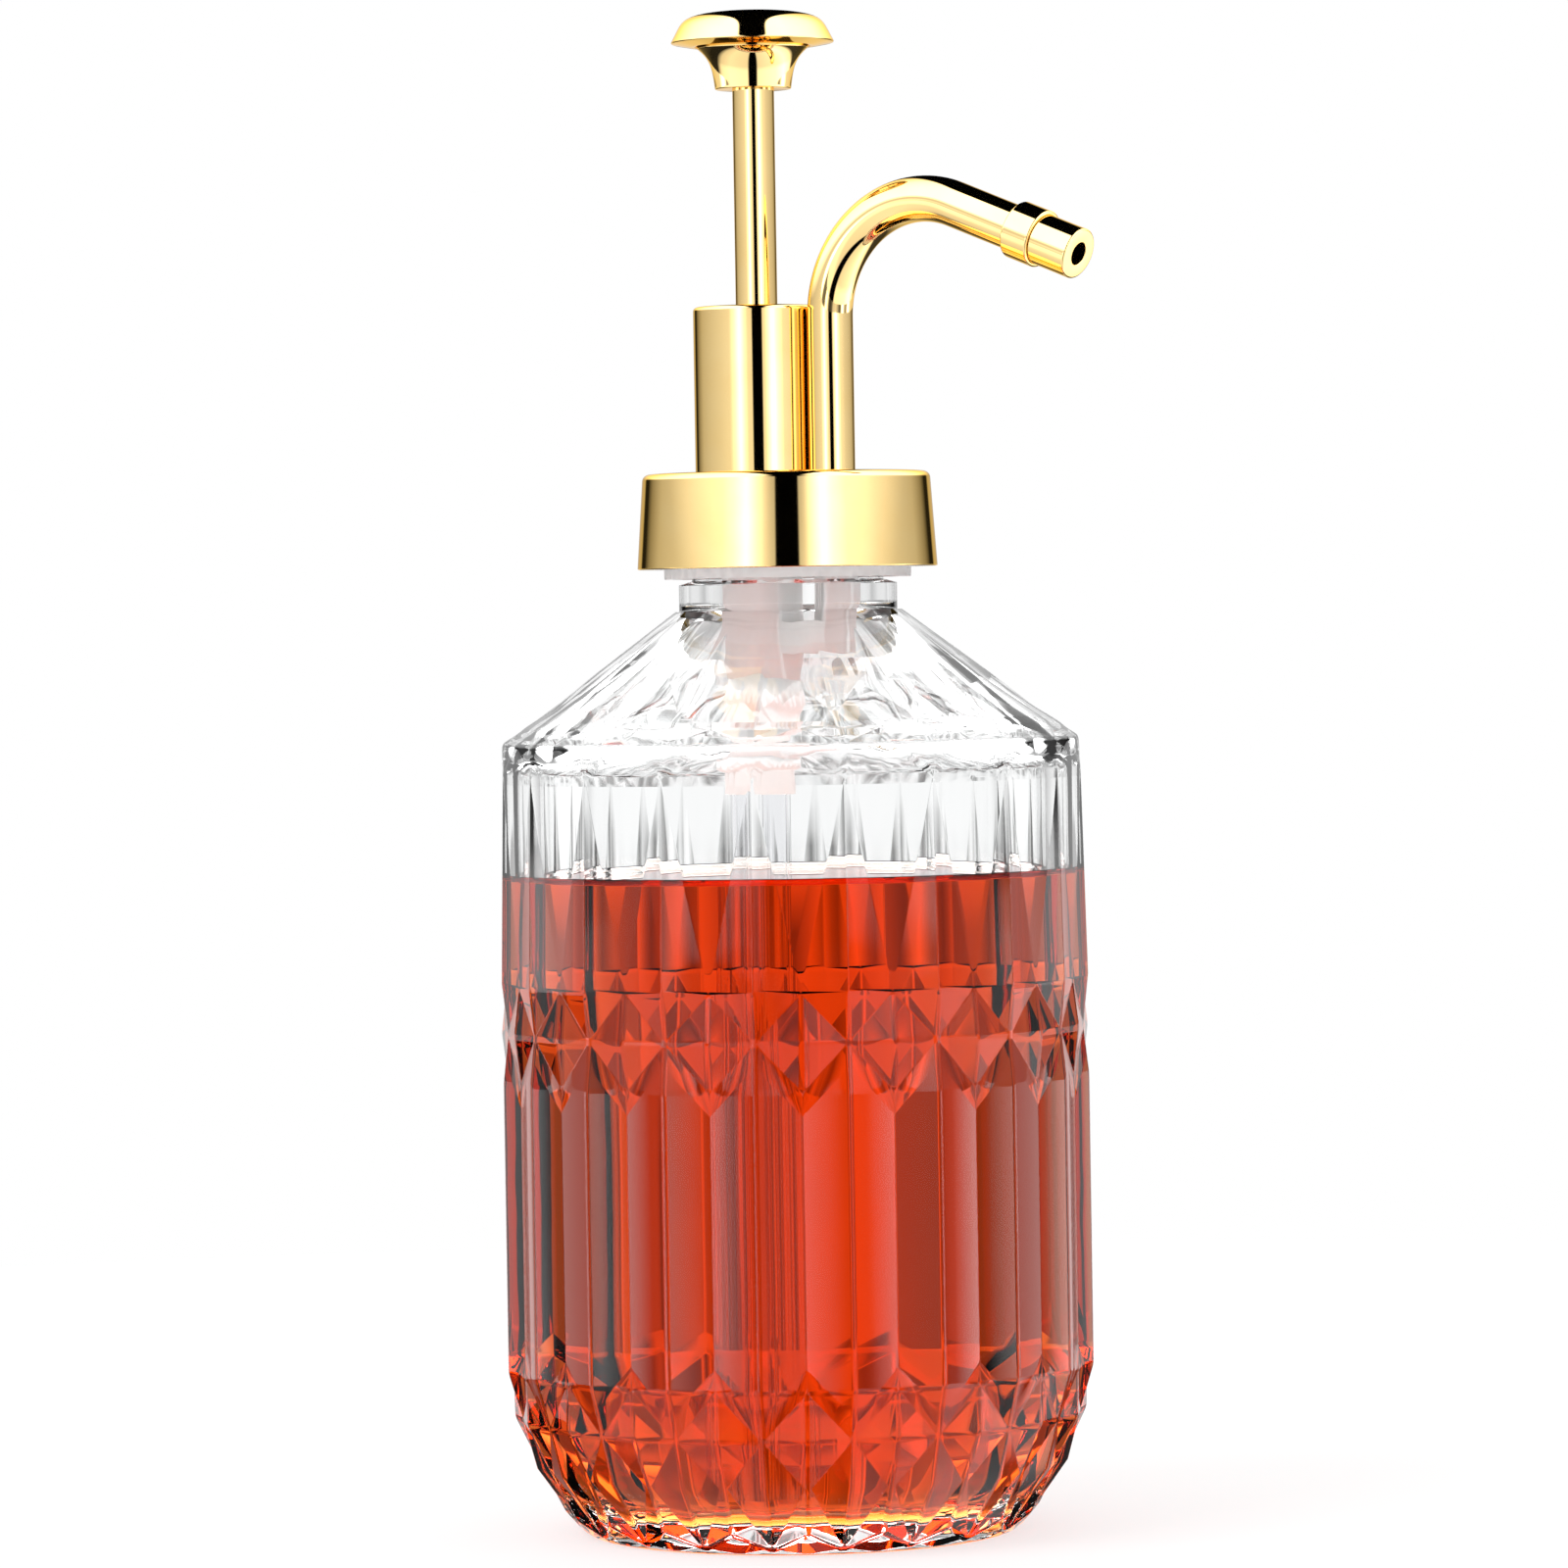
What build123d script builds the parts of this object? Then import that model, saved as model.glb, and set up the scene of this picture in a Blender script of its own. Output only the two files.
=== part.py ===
from build123d import *
import math
import os

# Syrup dispenser: a cut-glass bottle with a screwed-on push pump. Millimetres, +Z up.
# Origin: centre of the bottle's flat foot. The spout points along +X.

OVERRUN = 1.0          # how far a cut runs past its face, or a joined shape into its neighbour

# Glass bottle: twenty panels, each 18 degrees wide, with diamonds between their ends
PANELS = 20
FOOT_R = 28.0
BODY_R = 38.9          # at the ridge down the middle of each panel
GROOVE = 1.0           # depth of the groove between two panels
WALL = 2.4
FLOOR = 5.3
BODY_H = 104.2         # foot to the edge of the shoulder
EDGE_INSET = 1.3       # how far the shoulder's edge lies inside the ridges
SHOULDER_H = 17.0
HEEL_BEND_R = 15.0     # inside the bottle, floor to wall
SHOULDER_BEND_R = 5.0  # inside the bottle, wall to shoulder

# Rows of facets, measured up from the foot or down from the shoulder's edge
PETAL_TIP_Z = 0.9
HEEL_Z = 2.9
LOWER_ROW_Z = 15.6     # middles of the lower diamonds
UPPER_ROW_Z = 66.3     # middles of the upper diamonds
DIAMOND_HALF = 6.3     # half a diamond's height
KITE_DROP = 3.9        # top point of a kite, below the shoulder's edge
LENS_RISE = 2.0        # half the height of the small lens on the shoulder
FLUTE_RISE = 7.8       # start of the flutes, above the shoulder's edge

# How far the facets' corners lie inside the ridges' radius, or stand out of a plain surface
HEEL_DEPTH = 7.6
PETAL_GROOVE_DEPTH = 4.3
PETAL_RIDGE_DEPTH = 3.6
LOWER_TIP_DEPTH = 1.9
LOWER_DIAMOND_DEPTH = 1.15
UPPER_TIP_DEPTH = 0.7
UPPER_DIAMOND_DEPTH = 0.25
KITE_TOP_DEPTH = 0.6
PETAL_TIP_SWELL = 1.3  # outside the foot
EDGE_GROOVE_SWELL = 0.4
EDGE_MIDDLE_SWELL = 0.2
LENS_SWELL = 0.6
FLUTE_SWELL = 0.4      # ridges out and grooves in, from the shoulder's cone

# Neck and screw finish
NECK_SWELL = 1.75      # the neck below the finish stands this far outside it
NECK_H = 3.5
NECK_STEP = 0.5
NECK_LEDGE = 0.3       # the shoulder's top stands this far outside the neck
FINISH_R = 12.6
FINISH_H = 9.6
FINISH_WALL = 2.0
LIP_ROUND = 0.5
PITCH = 4.233
THREAD_TURNS = 1.0
THREAD_DEPTH = 1.2
THREAD_ROOT_W = 2.0
THREAD_CREST_W = 0.8
THREAD_GAP = 0.3       # between the two threads' flanks, and from crest to root
THREAD_SINK = 0.3      # how deep a thread's ridge is rooted in its wall

# Syrup in the bottle
SYRUP_DROP = 17.1      # the syrup's surface, below the shoulder's edge
SYRUP_SKIN = 0.02      # between the syrup's solid and the glass
SYRUP_CLEAR = 0.3      # round the dip tube

# Collar and its plastic liner
COLLAR_FOOT_WALL = 1.9
COLLAR_TOP_WALL = 1.05
COLLAR_LIP_W = 3.45    # how far the collar's top reaches in from its bore
COLLAR_LIP_T = 0.8
COLLAR_ROUND = 0.9
LINER_WALL = 3.73
LINER_SKIRT_WALL = 2.15
LINER_SKIRT_H = 1.3
LINER_LIFT = 0.3       # from the neck's step to the foot of the liner
LINER_WEB_W = 1.95     # how far the web over the flange reaches in from the liner's bore
LINER_WEB_T = 0.9
TURN_GAP = 0.1         # running gap above and below the liner's web
PRESS_GAP = 0.02       # radial gap of parts that are pressed together

# Pump head
BARREL_CLEAR = 0.8     # between the barrel and the neck's bore
RISER_CLEAR = 0.5      # between the riser and the neck's bore
GASKET_T = 1.2
GASKET_SET = 0.3       # the gasket's hole is this much wider than the bore
FLANGE_CLEAR = 0.5     # between the flange and the liner's bore
FLANGE_T = 1.5
PLATE_CLEAR = 0.2      # between the top plate and the collar's lip
BOSS_CLEAR = 0.25      # between the plate's boss and the liner's web
BARREL_BORE_R = 4.5
BARREL_WALL = 1.0
RISER_BORE_R = 1.9
RISER_WALL = 0.8
PORT_R = 1.2
PORT_RISE = 1.6        # from the spring's seat to the port
PORT_WALL = 0.8        # above and below the port
VENT_R = 0.6
TOWER_GAP = 0.3        # between the tower and the foot of the spout
TOWER_WALL = 0.8
TOWER_H = 22.0
TOWER_TOP_T = 0.9
TOWER_ROUND = 0.6

# Plunger
STROKE = 25.0
ROD_R = 2.75
ROD_STEP = 0.95        # the end in the piston is this much thinner all round
ROD_CLEAR = 0.3        # round the rod, in the hole at the tower's top
RUN_GAP = 0.05         # radial running gap of the rod and the piston
REST_GAP = 0.1         # piston to guide, at the top of the stroke
GUIDE_T = 3.3
GUIDE_CLEAR = 0.1      # between the guide's head and the tower's bore
GUIDE_SPIGOT_H = 2.4
WIPER_T = 1.0
WIPER_WALL = 1.45
WIPER_GAP = 0.03
PISTON_H = 8.0
PISTON_FLOOR = 1.0
RING_H = 2.0
RING_DEPTH = 0.85
RING_FROM_FOOT = 2.4
KNOB_CLEAR = 3.6       # left between knob and tower when the knob is right down
HUB_WALL = 2.25        # round the rod, at the hub's foot
HUB_WAIST_SWELL = 0.25
HUB_FLARE_SWELL = 2.6
HUB_WAIST_H = 2.0
HUB_H = 5.6
HUB_BORE_H = 4.4
HUB_WAIST_LEAN = 0.12  # sideways for each unit of rise, where the flare starts
HUB_FLARE_RISE = 0.75  # rise for each unit sideways, where the flare ends
STUD_R = 3.0
STUD_H = 1.6
KNOB_R = 10.8
KNOB_BROW_IN = 1.0     # how far the knob's side leans in
KNOB_H = 4.7
KNOB_EDGE_RISE = 0.5
KNOB_BROW_RISE = 3.7
KNOB_ROUND = 0.8

# Return spring
SPRING_COILS = 8
SPRING_WIRE = 0.8
SPRING_CLEAR = 0.4     # between the spring and the barrel's bore
SPRING_SPARE = 0.3     # left between the coils when the knob is right down
SPRING_END_GAP = 0.05

# Inlet valve and dip tube
BALL_R = 2.5
SEAT_R = 1.9
BALL_ROOM = 0.5        # all round the ball in its cage
BALL_TRAVEL = 1.0
BALL_GAP = 0.03
CAGE_BAR = 1.0
CAGE_SINK = 0.8        # the cage's bar lies this far below the spring's seat
HOUSING_SPIGOT_H = 3.0
HOUSING_FLOOR = 1.5
SOCKET_WALL = 1.0
SOCKET_H = 8.4
DIP_R = 3.0
DIP_WALL = 0.8
DIP_FOOT_GAP = 3.2     # dip tube to the bottle's floor

# Outlet valve, in the riser
OUT_BALL_R = 1.4
OUT_SEAT_R = 1.0
OUT_SEAT_T = 1.6
OUT_TRAVEL = 0.9
OUT_STOP_H = 2.2
OUT_STOP_WALL = 0.58
OUT_BAR = 0.8

# Gooseneck spout
SPOUT_R = 3.0
SPOUT_WALL = 0.8
SPOUT_RISE = 20.3      # straight part above the collar
SPOUT_BEND_R = 14.7
SPOUT_TURN = 111.0     # degrees, from straight up to 21 degrees below level
SPOUT_REACH = 20.1     # from the end of the bend to the nozzle's face
WASHER_T = 0.8
ADAPTER_BORE_R = 1.1
ADAPTER_DOWN = 8.0
ADAPTER_UP = 6.0
NOZZLE_SWELL = 0.35    # the nozzle stands this far outside the tube
NOZZLE_BORE_R = 1.5
NOZZLE_H = 5.8
NOZZLE_CHAMFER = 0.25
RING_WALL = 0.8
RING_LENGTH = 4.2

# Radii and places across that follow from the sizes above
NECK_R = FINISH_R + NECK_SWELL
BORE_R = FINISH_R - FINISH_WALL
VALLEY_R = BODY_R - GROOVE
SHOULDER_R = BODY_R - EDGE_INSET
CONE_TOP_R = NECK_R + NECK_LEDGE
LINER_BORE_R = FINISH_R + THREAD_DEPTH + THREAD_GAP
LINER_R = LINER_BORE_R + LINER_WALL
LINER_SKIRT_R = LINER_BORE_R + LINER_SKIRT_WALL
LINER_WEB_R = LINER_BORE_R - LINER_WEB_W
COLLAR_BORE_R = LINER_R + PRESS_GAP
COLLAR_FOOT_R = COLLAR_BORE_R + COLLAR_FOOT_WALL
COLLAR_TOP_R = COLLAR_BORE_R + COLLAR_TOP_WALL
COLLAR_LIP_R = COLLAR_BORE_R - COLLAR_LIP_W
FLANGE_R = LINER_BORE_R - FLANGE_CLEAR
PLATE_R = COLLAR_LIP_R - PLATE_CLEAR
PLATE_BOSS_R = LINER_WEB_R - BOSS_CLEAR
BARREL_R = BARREL_BORE_R + BARREL_WALL
RISER_R = RISER_BORE_R + RISER_WALL
PUMP_X = BARREL_R + BARREL_CLEAR - BORE_R
SPOUT_X = BORE_R - RISER_CLEAR - RISER_R
SPOUT_BORE_R = SPOUT_R - SPOUT_WALL
TOWER_R = SPOUT_X - SPOUT_R - TOWER_GAP - PUMP_X
ROD_SPIGOT_R = ROD_R - ROD_STEP
WIPER_R = ROD_R + WIPER_WALL
HUB_FOOT_R = ROD_R + HUB_WALL
HUB_WAIST_R = HUB_FOOT_R + HUB_WAIST_SWELL
HUB_FLARE_R = HUB_FOOT_R + HUB_FLARE_SWELL
KNOB_BROW_R = KNOB_R - KNOB_BROW_IN
SPRING_MEAN_R = BARREL_BORE_R - SPRING_CLEAR - SPRING_WIRE / 2
BALL_ROOM_R = BALL_R + BALL_ROOM
DIP_BORE_R = DIP_R - DIP_WALL
SOCKET_R = DIP_R + SOCKET_WALL
OUT_STOP_BORE_R = RISER_BORE_R - PRESS_GAP - OUT_STOP_WALL
NOZZLE_R = SPOUT_R + NOZZLE_SWELL
RING_R = SPOUT_R + RING_WALL

# Heights that follow from the sizes above
SYRUP_Z = BODY_H - SYRUP_DROP
NECK_Z = BODY_H + SHOULDER_H
STEP_Z = NECK_Z + NECK_H
FINISH_Z = STEP_Z + NECK_STEP
LIP_Z = FINISH_Z + FINISH_H
GASKET_TOP = LIP_Z + GASKET_T
FLANGE_TOP = GASKET_TOP + FLANGE_T
WEB_Z = FLANGE_TOP + TURN_GAP
WEB_TOP = WEB_Z + LINER_WEB_T
COLLAR_TOP = WEB_TOP + COLLAR_LIP_T
LINER_Z = FINISH_Z + LINER_LIFT
COLLAR_Z = LINER_Z + LINER_SKIRT_H
LINER_THREAD_Z = LINER_Z + THREAD_ROOT_W / 2 + THREAD_GAP
THREAD_Z = LINER_THREAD_Z + (THREAD_ROOT_W + THREAD_CREST_W) / 2 + 2 * THREAD_GAP
TOWER_TOP = COLLAR_TOP + TOWER_H
GUIDE_TOP = TOWER_TOP - TOWER_TOP_T - TURN_GAP
BARREL_TOP = GUIDE_TOP - GUIDE_T
PISTON_TOP = BARREL_TOP - GUIDE_SPIGOT_H - REST_GAP
PISTON_Z = PISTON_TOP - PISTON_H
SPRING_SOLID = (SPRING_COILS + 1) * SPRING_WIRE
SPRING_Z = PISTON_Z - STROKE - SPRING_SOLID - SPRING_SPARE
HOUSING_Z = SPRING_Z - HOUSING_SPIGOT_H
BALL_SIT = math.sqrt(BALL_R**2 - SEAT_R**2)
CAGE_TOP = SPRING_Z - CAGE_SINK
SEAT_Z = CAGE_TOP - CAGE_BAR - BALL_TRAVEL - BALL_R - BALL_SIT - BALL_GAP
SOCKET_TOP = SEAT_Z - HOUSING_FLOOR
SOCKET_Z = SOCKET_TOP - SOCKET_H
DIP_Z = FLOOR + DIP_FOOT_GAP
PORT_Z = SPRING_Z + PORT_RISE + PORT_R
RISER_Z = PORT_Z - PORT_R - PORT_WALL
OUT_SEAT_Z = PORT_Z + PORT_R + PORT_WALL
OUT_BALL_SIT = math.sqrt(OUT_BALL_R**2 - OUT_SEAT_R**2)
OUT_BALL_Z = OUT_SEAT_Z + OUT_SEAT_T + OUT_BALL_SIT + BALL_GAP
OUT_STOP_Z = OUT_BALL_Z + OUT_BALL_R + OUT_TRAVEL
HUB_Z = TOWER_TOP + STROKE + KNOB_CLEAR
KNOB_Z = HUB_Z + HUB_H
ROD_TOP = HUB_Z + HUB_BORE_H
SPOUT_FOOT = FLANGE_TOP + WASHER_T
BEND_Z = COLLAR_TOP + SPOUT_RISE

HALF_STEPS = 2 * PANELS


# ---- shared shapes ----

def turned(profile, x=0.0):
    """Solid turned about the upright line at x, from its (radius, height) corners."""
    outline = Polyline([(r, 0, z) for r, z in profile], close=True)
    return Pos(x, 0, 0) * revolve(make_face(outline), Axis.Z)


def tube(outer_r, inner_r, low, high, x=0.0):
    return turned([(inner_r, low), (outer_r, low), (outer_r, high), (inner_r, high)], x)


def rod(radius, low, high, x=0.0):
    return turned([(0, low), (radius, low), (radius, high), (0, high)], x)


def helical_ridge(base_r, crest_r, low):
    """Screw thread ridge, rooted at base_r, with its crest inside or outside that."""
    inward = crest_r < base_r
    root_r = base_r + THREAD_SINK if inward else base_r - THREAD_SINK
    corners = [(root_r, low - THREAD_ROOT_W / 2), (crest_r, low - THREAD_CREST_W / 2),
               (crest_r, low + THREAD_CREST_W / 2), (root_r, low + THREAD_ROOT_W / 2)]
    section = make_face(Polyline([(r, 0, z) for r, z in corners], close=True))
    path = Helix(PITCH, PITCH * THREAD_TURNS, base_r, center=(0, 0, low))
    return sweep(section, path=path, is_frenet=True)


# ---- glass bottle ----

def cone_r(height):
    """Radius of the plain shoulder cone at a height."""
    share = (height - BODY_H) / SHOULDER_H
    return SHOULDER_R - share * (SHOULDER_R - CONE_TOP_R)


def facet_corners():
    """Corners of one half panel: side 0 is the groove, side 1 the panel's middle."""
    low, high, half = LOWER_ROW_Z, UPPER_ROW_Z, DIAMOND_HALF
    lens_z = BODY_H + LENS_RISE
    lens_top_z = BODY_H + 2 * LENS_RISE
    flute_z = BODY_H + FLUTE_RISE
    return {
        "foot_groove": (0, FOOT_R, 0),
        "foot_middle": (1, FOOT_R, 0),
        "petal_tip": (1, FOOT_R + PETAL_TIP_SWELL, PETAL_TIP_Z),
        "heel": (0, BODY_R - HEEL_DEPTH, HEEL_Z),
        "petal_groove": (0, BODY_R - PETAL_GROOVE_DEPTH, low - half),
        "petal_ridge": (1, BODY_R - PETAL_RIDGE_DEPTH, low - half),
        "lower_tip": (1, BODY_R - LOWER_TIP_DEPTH, low),
        "lower_diamond": (0, BODY_R - LOWER_DIAMOND_DEPTH, low),
        "panel_groove_low": (0, VALLEY_R, low + half),
        "panel_ridge_low": (1, BODY_R, low + half),
        "panel_groove_high": (0, VALLEY_R, high - half),
        "panel_ridge_high": (1, BODY_R, high - half),
        "upper_tip": (1, BODY_R - UPPER_TIP_DEPTH, high),
        "upper_diamond": (0, BODY_R - UPPER_DIAMOND_DEPTH, high),
        "kite_groove": (0, VALLEY_R, high + half),
        "kite_ridge": (1, BODY_R, high + half),
        "kite_top": (1, BODY_R - KITE_TOP_DEPTH, BODY_H - KITE_DROP),
        "edge_groove": (0, SHOULDER_R + EDGE_GROOVE_SWELL, BODY_H),
        "edge_middle": (1, SHOULDER_R + EDGE_MIDDLE_SWELL, BODY_H),
        "lens_tip": (0, cone_r(lens_z), lens_z),
        "lens_middle": (1, cone_r(lens_z) + LENS_SWELL, lens_z),
        "lens_top": (1, cone_r(lens_top_z), lens_top_z),
        "flute_groove": (0, cone_r(flute_z) - FLUTE_SWELL, flute_z),
        "flute_ridge": (1, cone_r(flute_z) + FLUTE_SWELL, flute_z),
        "neck_groove": (0, CONE_TOP_R, NECK_Z),
        "neck_ridge": (1, CONE_TOP_R + FLUTE_SWELL, NECK_Z),
    }


# Each facet by its corners, anticlockwise seen from outside, on the half panel after a groove
FACETS = [
    ("foot_groove", "foot_middle", "petal_tip"),
    ("foot_groove", "petal_tip", "heel"),
    ("heel", "petal_tip", "petal_groove"),
    ("petal_groove", "petal_tip", "petal_ridge"),
    ("petal_groove", "petal_ridge", "lower_tip"),
    ("petal_groove", "lower_tip", "lower_diamond"),
    ("lower_diamond", "lower_tip", "panel_groove_low"),
    ("panel_groove_low", "lower_tip", "panel_ridge_low"),
    ("panel_groove_low", "panel_ridge_low", "panel_ridge_high", "panel_groove_high"),
    ("panel_groove_high", "panel_ridge_high", "upper_tip"),
    ("panel_groove_high", "upper_tip", "upper_diamond"),
    ("upper_diamond", "upper_tip", "kite_groove"),
    ("kite_groove", "upper_tip", "kite_ridge"),
    ("kite_groove", "kite_ridge", "kite_top"),
    ("kite_groove", "kite_top", "edge_groove"),
    ("edge_groove", "kite_top", "edge_middle"),
    ("edge_groove", "edge_middle", "lens_tip"),
    ("lens_tip", "edge_middle", "lens_middle"),
    ("lens_tip", "lens_middle", "lens_top"),
    ("lens_tip", "lens_top", "flute_groove"),
    ("flute_groove", "lens_top", "flute_ridge"),
    ("flute_groove", "flute_ridge", "neck_ridge"),
    ("flute_groove", "neck_ridge", "neck_groove"),
]


def corner_at(corner, half_step):
    _, radius, height = corner
    angle = 2 * math.pi * (half_step % HALF_STEPS) / HALF_STEPS
    return Vector(radius * math.cos(angle), radius * math.sin(angle), height)


def facet_face(names, corners, groove, side):
    """One facet beside the groove at half step groove, mirrored when side is -1."""
    points = [corner_at(corners[n], groove + side * corners[n][0]) for n in names]
    return Face(Wire.make_polygon(points[::side], close=True))


def cap_face(groove_name, middle_name, corners):
    """Flat polygon that closes the facets at the foot or the neck."""
    names = [groove_name, middle_name] * PANELS
    points = [corner_at(corners[n], i) for i, n in enumerate(names)]
    return Face(Wire.make_polygon(points, close=True))


def faceted_body():
    corners = facet_corners()
    faces = [facet_face(names, corners, 2 * k, side)
             for k in range(PANELS) for side in (1, -1) for names in FACETS]
    faces.append(cap_face("foot_groove", "foot_middle", corners))
    faces.append(cap_face("neck_groove", "neck_ridge", corners))
    return Solid(Shell(faces))


def cavity(skin, top):
    """Inside of the bottle, drawn in by skin all round, up to a height in the bore."""
    wall_r = VALLEY_R - WALL - skin
    floor_z = FLOOR + skin
    slope = SHOULDER_H / (SHOULDER_R - CONE_TOP_R)
    drop = WALL * math.hypot(1, slope)
    shoulder_z = BODY_H + slope * (SHOULDER_R - wall_r) - drop
    bore_z = BODY_H + slope * (SHOULDER_R - BORE_R) - drop
    bends = [(0, floor_z), (wall_r, floor_z), (wall_r, shoulder_z), (BORE_R, bore_z), (BORE_R, top)]
    wall_line = FilletPolyline([(r, 0, z) for r, z in bends],
                               radius=(HEEL_BEND_R, SHOULDER_BEND_R, SHOULDER_BEND_R / 2))
    closing = Polyline((BORE_R, 0, top), (0, 0, top), (0, 0, floor_z))
    return revolve(make_face(Curve() + wall_line + closing), Axis.Z)


def bottle_neck():
    outline = [(0, NECK_Z - OVERRUN), (NECK_R, NECK_Z - OVERRUN), (NECK_R, STEP_Z), (FINISH_R, FINISH_Z),
               (FINISH_R, LIP_Z - LIP_ROUND), (FINISH_R - LIP_ROUND, LIP_Z), (0, LIP_Z)]
    return turned(outline)


def bottle():
    thread = helical_ridge(FINISH_R, FINISH_R + THREAD_DEPTH, THREAD_Z)
    return faceted_body() + bottle_neck() + thread - cavity(0, LIP_Z + OVERRUN)


def syrup():
    filled = cavity(SYRUP_SKIN, LIP_Z) & rod(BODY_R, 0, SYRUP_Z)
    return filled - rod(DIP_R + SYRUP_CLEAR, DIP_Z - SYRUP_CLEAR, SYRUP_Z + OVERRUN, PUMP_X)


# ---- collar ----

def collar_shell():
    profile = [(COLLAR_LIP_R, WEB_TOP), (COLLAR_BORE_R, WEB_TOP), (COLLAR_BORE_R, COLLAR_Z),
               (COLLAR_FOOT_R, COLLAR_Z), (COLLAR_TOP_R, COLLAR_TOP), (COLLAR_LIP_R, COLLAR_TOP)]
    face = make_face(Polyline([(r, 0, z) for r, z in profile], close=True))
    brow = face.vertices().sort_by(Axis.X)[-2]
    return revolve(fillet(brow, COLLAR_ROUND), Axis.Z)


def collar_liner():
    profile = [(LINER_BORE_R, LINER_Z), (LINER_SKIRT_R, LINER_Z), (LINER_SKIRT_R, COLLAR_Z),
               (LINER_R, COLLAR_Z), (LINER_R, WEB_TOP), (LINER_WEB_R, WEB_TOP), (LINER_WEB_R, WEB_Z),
               (LINER_BORE_R, WEB_Z)]
    return turned(profile) + helical_ridge(LINER_BORE_R, FINISH_R + THREAD_GAP, LINER_THREAD_Z)


# ---- fixed pump head ----

def neck_gasket():
    return tube(FINISH_R - LIP_ROUND, BORE_R + GASKET_SET, LIP_Z, GASKET_TOP)


def vent_holes(low, high):
    reach = (BARREL_R + TOWER_R - TOWER_WALL) / 2
    return [Pos(0, side * reach, 0) * rod(VENT_R, low, high, PUMP_X) for side in (1, -1)]


def pump_body():
    manifold = Pos((PUMP_X + SPOUT_X) / 2, 0, (RISER_Z + OUT_SEAT_Z) / 2) * Box(
        SPOUT_X - PUMP_X, 2 * RISER_R, OUT_SEAT_Z - RISER_Z)
    barrel = rod(BARREL_R, HOUSING_Z, BARREL_TOP, PUMP_X)
    riser = rod(RISER_R, RISER_Z, FLANGE_TOP, SPOUT_X)
    body = manifold + barrel + riser + rod(FLANGE_R, GASKET_TOP, FLANGE_TOP)
    body -= rod(BARREL_BORE_R, HOUSING_Z - OVERRUN, BARREL_TOP + OVERRUN, PUMP_X)
    body -= rod(RISER_BORE_R, PORT_Z - PORT_R, FLANGE_TOP + OVERRUN, SPOUT_X)
    port = Cylinder(PORT_R, SPOUT_X - PUMP_X, align=(Align.CENTER, Align.CENTER, Align.MIN))
    body -= Pos(PUMP_X, 0, PORT_Z) * Rot(0, 90, 0) * port
    for hole in vent_holes(GASKET_TOP - OVERRUN, FLANGE_TOP + OVERRUN):
        body -= hole
    return body


def top_plate():
    disc = rod(PLATE_R, WEB_TOP + TURN_GAP, COLLAR_TOP) + rod(PLATE_BOSS_R, FLANGE_TOP, COLLAR_TOP)
    disc -= rod(BARREL_R + PRESS_GAP, FLANGE_TOP - OVERRUN, COLLAR_TOP + OVERRUN, PUMP_X)
    disc -= rod(SPOUT_R + PRESS_GAP, FLANGE_TOP - OVERRUN, COLLAR_TOP + OVERRUN, SPOUT_X)
    for hole in vent_holes(FLANGE_TOP - OVERRUN, COLLAR_TOP + OVERRUN):
        disc -= hole
    return disc


def tower_sleeve():
    ceiling = TOWER_TOP - TOWER_TOP_T
    inner_r = TOWER_R - TOWER_WALL
    hole_r = ROD_R + ROD_CLEAR
    return turned([(inner_r, COLLAR_TOP), (TOWER_R, COLLAR_TOP), (TOWER_R, TOWER_TOP - TOWER_ROUND),
                   (TOWER_R - TOWER_ROUND, TOWER_TOP), (hole_r, TOWER_TOP), (hole_r, ceiling),
                   (inner_r, ceiling)], PUMP_X)


def stem_guide():
    bore_r = ROD_R + RUN_GAP
    head_r = TOWER_R - TOWER_WALL - GUIDE_CLEAR
    spigot_r = BARREL_BORE_R - PRESS_GAP
    foot_z = BARREL_TOP - GUIDE_SPIGOT_H
    seat_z = GUIDE_TOP - WIPER_T
    return turned([(bore_r, foot_z), (spigot_r, foot_z), (spigot_r, BARREL_TOP), (head_r, BARREL_TOP),
                   (head_r, GUIDE_TOP), (WIPER_R, GUIDE_TOP), (WIPER_R, seat_z), (bore_r, seat_z)],
                  PUMP_X)


def stem_wiper():
    return tube(WIPER_R - PRESS_GAP, ROD_R + WIPER_GAP, GUIDE_TOP - WIPER_T, GUIDE_TOP, PUMP_X)


# ---- valves and dip tube ----

def valve_housing():
    spigot_r = BARREL_BORE_R - PRESS_GAP
    tube_r = DIP_R + PRESS_GAP
    shell = turned([(tube_r, SOCKET_Z), (SOCKET_R, SOCKET_Z), (SOCKET_R, SOCKET_TOP - SOCKET_R / 2),
                    (BARREL_R, SOCKET_TOP), (BARREL_R, HOUSING_Z), (spigot_r, HOUSING_Z),
                    (spigot_r, SPRING_Z), (BALL_ROOM_R, SPRING_Z), (BALL_ROOM_R, SEAT_Z),
                    (SEAT_R, SEAT_Z), (SEAT_R, SOCKET_TOP), (tube_r, SOCKET_TOP)], PUMP_X)
    bar = Pos(PUMP_X, 0, CAGE_TOP - CAGE_BAR / 2) * Box(2 * BALL_ROOM_R + CAGE_BAR, CAGE_BAR, CAGE_BAR)
    return shell + bar


def inlet_ball():
    return Pos(PUMP_X, 0, SEAT_Z + BALL_SIT + BALL_GAP) * Sphere(BALL_R)


def outlet_seat():
    return tube(RISER_BORE_R - PRESS_GAP, OUT_SEAT_R, OUT_SEAT_Z, OUT_SEAT_Z + OUT_SEAT_T, SPOUT_X)


def outlet_ball():
    return Pos(SPOUT_X, 0, OUT_BALL_Z) * Sphere(OUT_BALL_R)


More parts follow.
